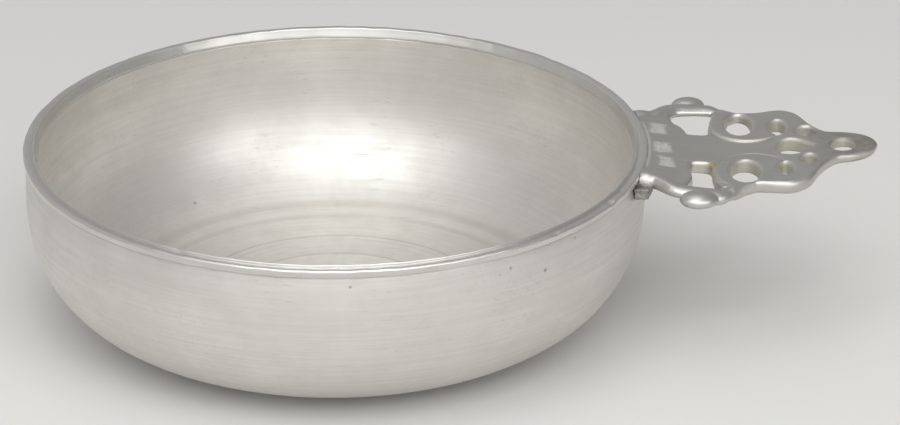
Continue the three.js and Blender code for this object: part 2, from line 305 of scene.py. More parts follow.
def handle_top(x):
    """Height of the plate between its straps: lowest at the waist, as in the solids."""
    reach = np.asarray(x) - RIM_RADIUS
    root = (PLATE_DROP - ROOT_DROP) * np.clip((WAIST_REACH - reach) / WAIST_REACH, 0, None) ** 2
    tip = np.clip((reach - WAIST_REACH) / (TIP_REACH - WAIST_REACH), 0, None) ** 1.5
    return RIM_HEIGHT - PLATE_DROP + root + (PLATE_DROP - TIP_DROP) * tip


def along_x(x, line):
    """A reading of a line of [x, value] places."""
    places, values = np.array(line).T
    return np.interp(x, places, values)


def smooth_line(points, steps, closed=False):
    """Catmull-Rom curve through the points."""
    p = np.asarray(points, dtype=float)
    if closed:
        p = np.vstack([p[-1], p, p[0], p[1]])
    else:
        p = np.vstack([2 * p[0] - p[1], p, 2 * p[-1] - p[-2]])
    line = []
    for i in range(1, len(p) - 2):
        a, b, c, d = p[i - 1:i + 3]
        for t in np.arange(steps) / steps:
            line.append(0.5 * (2 * b + (c - a) * t + (2 * a - 5 * b + 4 * c - d) * t ** 2
                               + (3 * b - a - 3 * c + d) * t ** 3))
    if not closed:
        line.append(p[-2])
    return np.array(line)


def oval(centre, half_length, half_width, steps=48):
    angles = np.arange(steps) * (2 * math.pi / steps)
    x = centre[0] + half_length * np.cos(angles)
    y = centre[1] + half_width * np.sin(angles)
    return np.stack([x, y], axis=1)


def mirrored(points):
    return np.asarray(points) * np.array([1.0, -1.0])


# Openings, at their narrowest
FAR_SCROLL_HOLE = oval((94.35, 14.1), 3.0, 6.4)
NEAR_SCROLL_HOLE = oval((94.5, 13.7), 3.25, 5.8)
FAR_HOLES = (smooth_line(FAR_LARGE_HOLE, 4, closed=True), FAR_SCROLL_HOLE, oval((103.3, 11.6), 1.75, 3.8),
             oval((109.7, 8.8), 2.2, 2.5))
NEAR_HOLES = (smooth_line(NEAR_LARGE_HOLE, 4, closed=True), NEAR_SCROLL_HOLE, oval((103.8, 12.4), 1.45, 3.2),
              oval((109.6, 7.5), 1.7, 2.3))
DROP = smooth_line(np.vstack([DROP_SIDE, [DROP_POINT], mirrored(DROP_SIDE[::-1])]), 5, closed=True)
MIDDLE_HOLES = (DROP, oval((117.9, 0), 2.65, 3.15))
SCROLL = oval((96.1, 13.9), 8.9, 10.2)


# Handle: fields, positive inside the metal

def edge_distance(x, y, line, closed=True):
    """Distance to a line, and whether each point is inside it where it is closed."""
    nearest = np.full(x.shape, FAR_AWAY)
    inside = np.zeros(x.shape, dtype=bool)
    ends = np.roll(line, -1, axis=0)
    for a, b in list(zip(line, ends))[:None if closed else -1]:
        along = b - a
        length = along @ along
        if length < TINY:
            continue
        t = np.clip(((x - a[0]) * along[0] + (y - a[1]) * along[1]) / length, 0, 1)
        gap = (x - a[0] - t * along[0]) ** 2 + (y - a[1] - t * along[1]) ** 2
        nearest = np.minimum(nearest, gap)
        crosses = (a[1] > y) != (b[1] > y)
        if abs(along[1]) > TINY:
            inside ^= crosses & (x < a[0] + (y - a[1]) * along[0] / along[1])
    return np.sqrt(nearest), inside


def signed(x, y, line):
    """Positive inside the line."""
    gap, inside = edge_distance(x, y, line)
    return np.where(inside, gap, -gap)


def smooth_step(value, low, high):
    t = np.clip((value - low) / (high - low), 0, 1)
    return t * t * (3 - 2 * t)


def blob(x, y, centre, reach):
    return np.exp(-((x - centre[0]) ** 2 + (y - centre[1]) ** 2) / reach ** 2)


def ellipsoid(x, y, z, centre, radii):
    """Positive inside, in millimetres along Z."""
    flat = ((x - centre[0]) / radii[0]) ** 2 + ((y - centre[1]) / radii[1]) ** 2
    return 1 - np.sqrt(flat[..., None] + ((z - centre[2]) / radii[2]) ** 2)


def rounded(a, b, radius):
    """Where two faces meet, positive inside each, with a rounded edge."""
    u = np.maximum(radius - a, 0)
    v = np.maximum(radius - b, 0)
    return np.where((u > 0) & (v > 0), radius - np.sqrt(u ** 2 + v ** 2), np.minimum(a, b))


def smooth_max(a, b, blend):
    """The larger of two fields, with a soft fillet where they meet."""
    h = np.clip(0.5 + 0.5 * (a - b) / blend, 0, 1)
    return b + (a - b) * h + blend * h * (1 - h)


def surface_net(values, origin, step):
    """Quad mesh where a field of values on a regular grid changes sign (positive inside)."""
    inside = values > 0
    shape = np.array(values.shape) - 1
    total = np.zeros(tuple(shape) + (3,))
    count = np.zeros(tuple(shape))
    corner = [slice(0, n) for n in shape]
    for axis in range(3):
        others = [a for a in range(3) if a != axis]
        for first in (0, 1):
            for second in (0, 1):
                low = list(corner)
                low[others[0]] = slice(first, shape[others[0]] + first)
                low[others[1]] = slice(second, shape[others[1]] + second)
                high = list(low)
                high[axis] = slice(1, shape[axis] + 1)
                a, b = values[tuple(low)], values[tuple(high)]
                cross = inside[tuple(low)] != inside[tuple(high)]
                spot = np.zeros(tuple(shape) + (3,))
                spot[..., axis] = np.where(cross, a / np.where(cross, a - b, 1), 0)
                spot[..., others[0]] = first
                spot[..., others[1]] = second
                total += np.where(cross[..., None], spot, 0)
                count += cross
    used = count > 0
    number = np.full(tuple(shape), -1)
    number[used] = np.arange(used.sum())
    points = (np.argwhere(used) + total[used] / count[used][:, None]) * step + np.asarray(origin)
    faces = []
    for axis in range(3):
        one, two = (axis + 1) % 3, (axis + 2) % 3
        low = [slice(None)] * 3
        high = [slice(None)] * 3
        low[axis] = slice(0, -1)
        high[axis] = slice(1, None)
        changes = np.argwhere(inside[tuple(low)] != inside[tuple(high)])
        keep = (changes[:, one] > 0) & (changes[:, two] > 0)
        keep &= (changes[:, one] < values.shape[one] - 1) & (changes[:, two] < values.shape[two] - 1)
        changes = changes[keep]
        out = inside[tuple(changes.T)]
        quad = []
        for back_one, back_two in ((1, 1), (0, 1), (0, 0), (1, 0)):
            cell = changes.copy()
            cell[:, one] -= back_one
            cell[:, two] -= back_two
            quad.append(number[tuple(cell.T)])
        quad = np.stack(quad, axis=1)
        quad[~out] = quad[~out][:, ::-1]
        faces.append(quad)
    return points, np.vstack(faces)


# Relief of the plate, and where it comes in: across the scroll's edge, along X or out from the middle
STRAP_RISE = 0.36
STRAP_FLANK = (-0.1, 0.5)
STRAP_OUT = (18.0, 20.5)
STRAP_BEGIN = (87.0, 91.5)
GROOVE_DEPTH = 0.2
GROOVE_FLANK = (-1.1, -0.2)
TIP_RISE = 0.34
TIP_BEGIN = (101.5, 104.5)
TIP_SIDES_AHEAD = 7
TIP_SIDES = (15.5, 18.5)
LOOP_SINK = 0.1
LOOP_BEGIN = (111.5, 114.5)
LOOP_THINNING = 0.75
THINNING_BEGIN = (112.0, 117.0)
ROOT_HOLLOWS = (((79.6, 15.4), 2.0, 0.35), ((79.8, -16.5), 2.2, 0.25))

# The far strand beside the scroll's opening is thinner
STRAND_X = 96.0
STRAND_REACH = (8.0, 2.0)
STRAND_OUT = (16.0, 20.0)
STRAND_UPPER_LOSS = 0.45
STRAND_LOWER_LOSS = 0.35

# Edges and walls. On the near side the border is a little wider towards the tip.
HOLE_EDGE = 0.8
LOWER_HOLE_EDGE = 0.5
LOWER_OUTSIDE_EDGE = 1.3
EDGE_CHANGE = (-0.6, 0.6)
NEAR_SWELL = 0.25
NEAR_SWELL_BEGIN = (92, 97)
NEAR_SWELL_END = (114, 108)
HOLE_DRAFT = 0.1
OUTSIDE_UNDERCUT = 0.12
DRAFT_REACH = 3
FIELD_LIMIT = 20


def plate_field(X, Y, Z, far, near):
    """Plate inside the border, less the openings."""
    A = np.abs(Y)
    outer = signed(X, Y, np.vstack([far, mirrored(near[-2::-1])]))
    inner = np.full(X.shape, FAR_AWAY)
    for holes, side in ((MIDDLE_HOLES, 1), (FAR_HOLES, 1), (NEAR_HOLES, -1)):
        for hole in holes:
            inner = np.minimum(inner, -signed(X, side * Y, hole))

    # The scroll straps and the part towards the tip stand proud of the middle field
    scroll = signed(X, A, SCROLL)
    strap_end = smooth_step(A, *STRAP_OUT) * smooth_step(X, *STRAP_BEGIN)
    ring = np.maximum(smooth_step(scroll, *STRAP_FLANK), strap_end)
    late = smooth_step(X + TIP_SIDES_AHEAD * smooth_step(A, *TIP_SIDES), *TIP_BEGIN) * (1 - ring)
    top = handle_top(X) + STRAP_RISE * ring + TIP_RISE * late - LOOP_SINK * smooth_step(X, *LOOP_BEGIN)
    top -= GROOVE_DEPTH * smooth_step(scroll, *GROOVE_FLANK) * (1 - ring) * (1 - late)
    for centre, reach, depth in ROOT_HOLLOWS:
        top -= depth * blob(X, Y, centre, reach)
    bottom = handle_top(X) - HANDLE_THICKNESS + LOOP_THINNING * smooth_step(X, *THINNING_BEGIN)
    strand = smooth_step(A, *STRAND_OUT) * smooth_step(np.abs(X - STRAND_X), *STRAND_REACH) * (Y > 0)
    top = (top - STRAND_UPPER_LOSS * strand)[..., None]
    bottom = (bottom + STRAND_LOWER_LOSS * strand)[..., None]

    outside_edge = np.where(Y > 0, along_x(X, FAR_EDGE), along_x(X, NEAR_EDGE))
    outer_share = smooth_step(inner - outer - BORDER_WIDTH, *EDGE_CHANGE)
    upper_edge = HOLE_EDGE + (outside_edge - HOLE_EDGE) * outer_share
    lower_edge = LOWER_HOLE_EDGE + (LOWER_OUTSIDE_EDGE - LOWER_HOLE_EDGE) * outer_share
    swell = NEAR_SWELL * smooth_step(X, *NEAR_SWELL_BEGIN) * smooth_step(X, *NEAR_SWELL_END) * (Y < 0)
    drawn = np.minimum(inner, FIELD_LIMIT)[..., None] - HOLE_DRAFT * np.clip(Z - bottom, 0, DRAFT_REACH)
    outside = np.minimum(outer + BORDER_WIDTH + swell, FIELD_LIMIT)[..., None]
    wall = np.minimum(outside - OUTSIDE_UNDERCUT * np.clip(top - Z, 0, DRAFT_REACH), drawn)
    upper = rounded(wall, top - Z, upper_edge[..., None])
    lower = rounded(wall, Z - bottom, lower_edge[..., None])
    return np.minimum(upper, lower)


# The rails narrow by these amounts per millimetre past their end, and sink into the scrolls: by how much, and
# from where to where along X. The far one lies a little higher than the near one.
RAIL_END = 91.7
FAR_NARROWING = 0.9
NEAR_NARROWING = 0.65
FAR_SINKING = (1.3, 87.5, 93.5)
NEAR_SINKING = (0.5, 89.5, 94.0)
FAR_LIFT = 0.25
FAR_LIFT_BEGIN = (74, 78)
FAR_LIFT_END = (95, 91)


def rail_field(X, Y, Z, far, near):
    """Flat rounded rails from the root, along the large openings, to the scrolls."""
    is_far = Y > 0
    far_gap, _ = edge_distance(X, np.abs(Y), far, closed=False)
    near_gap, _ = edge_distance(X, np.abs(Y), near, closed=False)
    gap = np.where(is_far, far_gap, near_gap)
    gap = gap + np.where(is_far, FAR_NARROWING, NEAR_NARROWING) * np.maximum(X - RAIL_END, 0)
    half_width = along_x(X, RAIL_HALF_WIDTH)
    half_height = along_x(X, RAIL_HALF_HEIGHT)[..., None]
    lift = FAR_LIFT * smooth_step(X, *FAR_LIFT_BEGIN) * smooth_step(X, *FAR_LIFT_END) * is_far
    far_sink, near_sink = (depth * smooth_step(X, *span) for depth, *span in (FAR_SINKING, NEAR_SINKING))
    middle = along_x(X, RAIL_MIDDLE) + lift - np.where(is_far, far_sink, near_sink)
    up = (Z - RIM_HEIGHT - middle[..., None]) / half_height
    rail = (1 - np.sqrt((gap / half_width)[..., None] ** 2 + up ** 2)) * half_height
    scroll_hole = np.where(is_far, -signed(X, Y, FAR_SCROLL_HOLE), -signed(X, -Y, NEAR_SCROLL_HOLE))
    return np.minimum(rail, scroll_hole[..., None])


# Low and high corner of the handle's grid
HANDLE_STEP = 0.22
FIELD_LOW = (68.12, -31.9, 36.4)
FIELD_HIGH = (127.82, 32.12, 43.42)

# Beside the large openings the plate gives way to the rails alone: from where to where along X, and how near
# to the border's middle line. The rails' fillet grows towards the scrolls.
OPEN_SIDE = 2
OPEN_SIDE_BEGIN = (78.0, 80.5)
OPEN_SIDE_END = (91.5, 88.0)
OPEN_SIDE_BORDER = (-2.4, -0.6)
RAIL_BLEND = 0.3
RAIL_BLEND_GROWTH = 0.6
RAIL_BLEND_SPAN = (87, 91)

# The near rail flares out beside its knob
FLARE_CENTRE = (86.8, -25.7, RIM_HEIGHT - 3.0)
FLARE_RADII = (3.4, 2.2, 1.5)
FLARE_SIZE = 1.5
FLARE_BLEND = 0.8

# Ear knobs on the outside of the border, and knuckles where it leaves the root
KNOB_CENTRE = (83.1, 27.75, RIM_HEIGHT - 2.5)
FAR_KNOB_LENGTH = 3.95
NEAR_KNOB_LENGTH = 4.35
KNOB_RADII = (3.35, 1.8)
KNOB_SIZE = 2.2
KNOB_BLEND = 0.1
KNUCKLE_CENTRE = (71.6, 18.0, RIM_HEIGHT - 2.0)
KNUCKLE_SIZE = 2.2
KNUCKLE_FLATTENING = 1.3
KNUCKLE_BLEND = 1.0

# Below the rim's seat the root reaches further in
ROOT_REACH = 0.85
ROOT_REACH_BLEND = 0.3


def grid(low, high, step):
    return [np.arange(start, end, step) for start, end in zip(low, high)]


def handle_mesh():
    x, y, z = grid(FIELD_LOW, FIELD_HIGH, HANDLE_STEP)
    X, Y = np.meshgrid(x, y, indexing="ij")
    A = np.abs(Y)
    Z = z[None, None, :]
    far, near = smooth_line(FAR_BORDER, 4), smooth_line(NEAR_BORDER, 4)

    body = plate_field(X, Y, Z, far, near)
    border = np.where(Y > 0, np.interp(X, *far.T), np.interp(X, *near.T))
    open_side = smooth_step(X, *OPEN_SIDE_BEGIN) * smooth_step(X, *OPEN_SIDE_END)
    open_side *= smooth_step(A - border, *OPEN_SIDE_BORDER)
    body = body - OPEN_SIDE * open_side[..., None]
    blend = RAIL_BLEND + RAIL_BLEND_GROWTH * smooth_step(X, *RAIL_BLEND_SPAN)
    body = smooth_max(body, rail_field(X, Y, Z, far, near), blend[..., None])
    body = smooth_max(body, ellipsoid(X, Y, Z, FLARE_CENTRE, FLARE_RADII) * FLARE_SIZE, FLARE_BLEND)

    knob_length = np.where(Y > 0, FAR_KNOB_LENGTH, NEAR_KNOB_LENGTH)
    knob = ellipsoid(X, A, Z, KNOB_CENTRE, (knob_length, *KNOB_RADII)) * KNOB_SIZE
    body = smooth_max(body, knob, KNOB_BLEND)
    knuckle_radii = (KNUCKLE_SIZE, KNUCKLE_SIZE, KNUCKLE_SIZE / math.sqrt(KNUCKLE_FLATTENING))
    knuckle = ellipsoid(X, A, Z, KNUCKLE_CENTRE, knuckle_radii) * KNUCKLE_SIZE
    body = smooth_max(body, knuckle, KNUCKLE_BLEND)

    further_in = ROOT_REACH * smooth_step(Z, SEAT_HEIGHT, SEAT_HEIGHT - ROOT_REACH_BLEND)
    body = np.minimum(body, np.hypot(X, Y)[..., None] - HANDLE_INSIDE + further_in)
    return mesh_object("handle_casting", *surface_net(body, FIELD_LOW, HANDLE_STEP))


handle = handle_mesh()
handle.data.set_sharp_from_angle(angle=math.radians(42))


# Solder line under the rim's outside

SOLDER_RADIUS = SOLDER_INSIDE + 0.2
SOLDER_HALF_ANGLE = 15.4
SOLDER_HALF_WIDTH = 0.55
SOLDER_HALF_HEIGHT = 0.45
SOLDER_HEIGHT = handle_top(73.5) - 0.16
SOLDER_STEPS = 220
SOLDER_SIDES = 12
SOLDER_TAPER = 6
SOLDER_WANDER_WIDTH = 0.06
SOLDER_WANDER_HEIGHT = 0.05


def solder_line():
    points = []
    faces = []
    rng = np.random.default_rng(21)
    wander = np.convolve(rng.normal(size=SOLDER_STEPS + 60), np.hanning(30) / 8, mode="same")[30:-29]
    for i in range(SOLDER_STEPS + 1):
        share = i / SOLDER_STEPS
        angle = math.radians(SOLDER_HALF_ANGLE * (2 * share - 1))
        taper = min(1, SOLDER_TAPER * share, SOLDER_TAPER * (1 - share)) ** 0.5
        half_width = SOLDER_HALF_WIDTH + SOLDER_WANDER_WIDTH * wander[i]
        middle = SOLDER_HEIGHT + SOLDER_WANDER_HEIGHT * wander[i]
        for k in range(SOLDER_SIDES):
            turn = 2 * math.pi * k / SOLDER_SIDES
            radius = SOLDER_RADIUS + half_width * taper * math.cos(turn)
            height = middle + SOLDER_HALF_HEIGHT * taper * math.sin(turn)
            points.append((radius * math.cos(angle), radius * math.sin(angle), height))
    for i in range(SOLDER_STEPS):
        a, b = i * SOLDER_SIDES, (i + 1) * SOLDER_SIDES
        for k in range(SOLDER_SIDES):
            n = (k + 1) % SOLDER_SIDES
            faces.append((a + k, b + k, b + n, a + n))
    faces.append(tuple(range(SOLDER_SIDES)))
    faces.append(tuple(reversed(range(SOLDER_STEPS * SOLDER_SIDES, (SOLDER_STEPS + 1) * SOLDER_SIDES))))
    return mesh_object("solder_bead", points, faces)


solder = solder_line()


# Rough ledge under the root

LEDGE_STEP = 0.2
LEDGE_LOW = (66.5, -22.5, 34.5)
LEDGE_HIGH = (77.0, 22.8, 39.5)
LEDGE_RADIUS = 74.9
LEDGE_TOP = 39.2
LEDGE_BOTTOM = 36.4
LEDGE_HALF_LENGTH = 21.4
LEDGE_GAP = 0.25


def root_ledge():
    x, y, z = grid(LEDGE_LOW, LEDGE_HIGH, LEDGE_STEP)
    X, Y, Z = np.meshgrid(x, y, z, indexing="ij")
    radius = np.hypot(X, Y)
    climb = np.clip((Z - BELLY_HEIGHT) / (SEAT_HEIGHT - BELLY_HEIGHT), 0, 1)
    wall = BELLY_RADIUS - (BELLY_RADIUS - NECK_RADIUS) * climb ** 2
    points = np.stack([X.ravel(), Y.ravel(), Z.ravel()], axis=1)
    rough = soft_waves(points, size=2.8, seed=31, amount=0.14)
    rough = (rough + soft_waves(points, size=1.2, seed=32, amount=0.09)).reshape(X.shape)
    body = rounded(LEDGE_RADIUS - radius + rough, Z - LEDGE_BOTTOM + rough * 1.4, 1.2)
    body = rounded(body, LEDGE_HALF_LENGTH - np.abs(Y) + rough, 1.0)
    body = np.minimum(body, LEDGE_TOP - Z)
    body = np.minimum(body, radius - wall - LEDGE_GAP)
    return mesh_object("root_ledge", *surface_net(body, LEDGE_LOW, LEDGE_STEP))


ledge = root_ledge()


# Materials

class Nodes:
    """Short helper for one node tree."""

    def __init__(self, tree):
        self.tree = tree
        tree.nodes.clear()

    def node(self, kind, **values):
        made = self.tree.nodes.new(kind)
        for key, value in values.items():
            setattr(made, key, value)
        return made

    def set(self, socket, value):
        if isinstance(value, bpy.types.NodeSocket):
            self.tree.links.new(value, socket)
        else:
            socket.default_value = value

    def math(self, operation, *values):
        made = self.node("ShaderNodeMath", operation=operation)
        for socket, value in zip(made.inputs, values):
            self.set(socket, value)
        return made.outputs[0]

    def add(self, a, b):
        return self.math("ADD", a, b)

    def times(self, a, b):
        return self.math("MULTIPLY", a, b)

    def larger(self, a, b):
        return self.math("MAXIMUM", a, b)

    def away(self, a, b):
        return self.math("ABSOLUTE", self.math("SUBTRACT", a, b))

    def vector(self, operation, a, b, result):
        made = self.node("ShaderNodeVectorMath", operation=operation)
        self.set(made.inputs[0], a)
        self.set(made.inputs[1], b)
        return made.outputs[result]

    def split(self, vector):
        made = self.node("ShaderNodeSeparateXYZ")
        self.set(made.inputs[0], vector)
        return made.outputs

    def turning_radius(self, x, y):
        return self.math("SQRT", self.add(self.times(x, x), self.times(y, y)))

    def ramp(self, value, low, high, to_low=0.0, to_high=1.0):
        made = self.node("ShaderNodeMapRange", interpolation_type="SMOOTHSTEP")
        for socket, number in zip(made.inputs, (value, low, high, to_low, to_high)):
            self.set(socket, number)
        return made.outputs["Result"]

    def mix(self, factor, a, b):
        made = self.node("ShaderNodeMix", data_type="RGBA")
        self.set(made.inputs["Factor"], factor)
        for socket, value in ((made.inputs[6], a), (made.inputs[7], b)):
            self.set(socket, value if isinstance(value, bpy.types.NodeSocket) else (*value, 1.0))
        return made.outputs[2]

    def place(self):
        return self.node("ShaderNodeTexCoord").outputs["Object"]

    def scaled(self, vector, scale, turn=(0, 0, 0)):
        made = self.node("ShaderNodeMapping")
        self.set(made.inputs["Vector"], vector)
        self.set(made.inputs["Scale"], scale)
        self.set(made.inputs["Rotation"], tuple(math.radians(a) for a in turn))
        return made.outputs["Vector"]

    def noise(self, vector, scale, detail=3.0, roughness=0.5, w=None):
        made = self.node("ShaderNodeTexNoise", noise_dimensions="3D" if w is None else "4D")
        self.set(made.inputs["Vector"], vector)
        self.set(made.inputs["Scale"], scale)
        self.set(made.inputs["Detail"], detail)
        self.set(made.inputs["Roughness"], roughness)
        if w is not None:
            self.set(made.inputs["W"], w)
        return made.outputs["Fac"]

    def bump(self, height, strength, distance, normal=None):
        made = self.node("ShaderNodeBump")
        self.set(made.inputs["Strength"], strength)
        self.set(made.inputs["Distance"], distance)
        self.set(made.inputs["Height"], height)
        if normal is not None:
            self.set(made.inputs["Normal"], normal)
        return made.outputs["Normal"]


def new_material(name):
    """A material, its node helper and its shader."""
    material = bpy.data.materials.new(name)
    material.use_nodes = True
    n = Nodes(material.node_tree)
    output = n.node("ShaderNodeOutputMaterial")
    shader = n.node("ShaderNodeBsdfPrincipled")
    n.set(output.inputs["Surface"], shader.outputs["BSDF"])
    return material, n, shader


def turning_noise(n, place, along, across, detail=2.0):
    """Noise drawn out round the Z axis: fine along the profile, slow round the bowl."""
    x, y, z = n.split(place)
    radius = n.turning_radius(x, y)
    safe = n.larger(radius, 0.002)
    joined = n.node("ShaderNodeCombineXYZ")
    n.set(joined.inputs[0], n.times(n.math("DIVIDE", x, safe), along))
    n.set(joined.inputs[1], n.times(n.math("DIVIDE", y, safe), along))
    n.set(joined.inputs[2], n.times(radius, across))
    return n.noise(joined.outputs[0], 1.0, detail, 0.6, n.times(z, across))


def scratches(n, place, scale, turn, stretch, low, high):
    """Thin straight strokes in one direction: the peaks of a drawn-out noise, in loose groups."""
    drawn = n.noise(n.scaled(place, (stretch, 1.0, 1.0), turn), scale, 1.0, 0.4)
    gate = n.ramp(n.noise(place, scale * 0.04, 1.0), 0.48, 0.66)
    return n.times(n.ramp(drawn, low, high), gate)


PEWTER = (0.735, 0.722, 0.697)
PEWTER_DARK = (0.60, 0.587, 0.56)
PEWTER_DULL = (0.47, 0.45, 0.415)
DIRT = (0.075, 0.065, 0.045)
PALE_CRUST = (0.44, 0.36, 0.18)
# Beige film with painted shade, for the openings' walls and rims
BEIGE_FILM_AND_SHADE = (0.57, 0.553, 0.49)
OLIVE_FILM = (0.22, 0.21, 0.17)
HAMMERED = (0.93, 0.92, 0.89)

# Dark pits of the bowl: place and reach
BOWL_SPOTS = (
    ((37.7, -61.3, 36.1), 0.5), ((40.1, -59.6, 37.0), 0.6), ((54.6, -46.4, 38.4), 0.5),
    ((4.8, -71.5, 37.8), 0.5), ((47.8, -54.0, 34.0), 0.6), ((-35.7, 45.7, 5.9), 0.6),
)

# Dark rings on the bowl's floor, partly turned lines and partly painted shade in the gutter by the wall and
# at the steps of the boss and groove: radius, half width and strength
FLOOR_RINGS_AND_SHADE = ((51.6, 2.6, 0.38), (46.5, 1.8, 0.3), (34.9, 0.9, 0.6), (32.6, 0.5, 0.25), (24.3, 0.8, 0.5))

# Three bare, rough, lighter patches on the handle's root: their places along X and Y, and half sizes
BARE_PATCHES = ((75.4, 10.0), (76.3, -0.9), (76.5, -9.2))
PATCH_HALF_LENGTH = 1.9
PATCH_HALF_WIDTH = 3.0

CRUST_PLACE = (87.6, -9.3, 39.8)


def spot_gap(n, place, centre, ragged):
    """Distance in metres from a place in millimetres, made ragged."""
    gap = n.vector("DISTANCE", place, [c * MM for c in centre], "Value")
    return n.add(gap, ragged)


def pit(n, place, centre, reach, mottle):
    gap = spot_gap(n, place, centre, n.ramp(mottle, 0.2, 0.8, 0.0, reach * 0.7 * MM))
    return n.ramp(gap, reach * 0.4 * MM, reach * 1.4 * MM, 0.55, 0.0)


# Darker rings inside the floor: turned lines, and painted shade in the gutter and at the steps of the boss
# and groove
def ring_lines_and_shade(n, place, marks):
    x, y, z = n.split(place)
    radius = n.add(n.turning_radius(x, y), n.ramp(marks, 0.2, 0.8, -0.3 * MM, 0.3 * MM))
    total = 0.0
    for centre, half_width, strength in FLOOR_RINGS_AND_SHADE:
        total = n.add(total, n.ramp(n.away(radius, centre * MM), 0.0, half_width * MM, strength, 0.0))
    inside = n.times(n.ramp(z, 1.5 * MM, 1.9 * MM), n.ramp(z, 8 * MM, 12 * MM, 1.0, 0.0))
    return n.times(total, inside)


def patch_mask(n, place, centre, ragged):
    """Soft-edged oblong on the handle's upper side."""
    x, y, _ = n.split(place)
    across = n.math("SUBTRACT", n.away(x, centre[0] * MM), PATCH_HALF_LENGTH * MM)
    along = n.math("SUBTRACT", n.away(y, centre[1] * MM), PATCH_HALF_WIDTH * MM)
    gap = n.add(n.larger(across, along), n.ramp(ragged, 0.25, 0.75, -0.9 * MM, 0.9 * MM))
    return n.ramp(gap, -0.9 * MM, 0.5 * MM, 1.0, 0.0)


def handle_dirt_and_shade(n, place):
    """Pale crust in a corner of the near large opening, a beige film with painted shade on the openings'
    walls and rims, olive on the tip.
    """
    gap = spot_gap(n, place, CRUST_PLACE, n.ramp(n.noise(place, 900, 2.0), 0.3, 0.7, 0.0, 0.8 * MM))
    crust = n.ramp(gap, 0.9 * MM, 2.2 * MM, 0.85, 0.0)
    upright = n.math("ABSOLUTE", n.split(n.node("ShaderNodeNewGeometry").outputs["Normal"])[2])
    x, y, _ = n.split(place)

    # Painted shade with a beige film on steep faces, more strongly in the middle of the handle, where the
    # openings are
    steep = n.ramp(upright, 0.35, 0.85, 0.35, 0.0)
    border = n.ramp(x, 104 * MM, 114 * MM, 18.5 * MM, 6.5 * MM)
    middle = n.ramp(n.math("SUBTRACT", n.math("ABSOLUTE", y), border), -0.8 * MM, 0.4 * MM, 1.0, 0.0)
    openings = n.times(middle, n.ramp(x, 80 * MM, 88 * MM))
    openings = n.times(n.ramp(upright, 0.4, 0.97, 0.95, 0.0), openings)

    # On level faces, more and more towards the tip
    tip = n.times(n.math("SUBTRACT", 0.35, steep), n.ramp(x, 102 * MM, 122 * MM, 0.0, 2.0))

    film_and_shade = n.larger(n.times(steep, n.ramp(x, 84 * MM, 95 * MM)), tip)
    film_and_shade = n.larger(film_and_shade, openings)
    film_and_shade = n.times(film_and_shade, n.ramp(n.noise(place, 420, 3.0), 0.3, 0.65, 0.7, 1.0))
    soil_and_shade = n.mix(n.ramp(tip, 0.05, 0.3), BEIGE_FILM_AND_SHADE, OLIVE_FILM)
    soil_and_shade = n.mix(n.ramp(crust, 0.1, 0.4), soil_and_shade, PALE_CRUST)
    return n.larger(crust, film_and_shade), soil_and_shade


# Depths of the bumps, in metres
MARKS_DEPTH = 0.00004
FINE_MARKS_DEPTH = 0.00002
SCRATCH_DEPTH = 0.00003
HAMMERED_DEPTH = 0.00022

# What a mark adds to the roughness
RING_ROUGHNESS = 0.06
SCRATCH_ROUGHNESS = 0.1
DIRT_ROUGHNESS = 0.45
PATCH_ROUGHNESS = 0.18


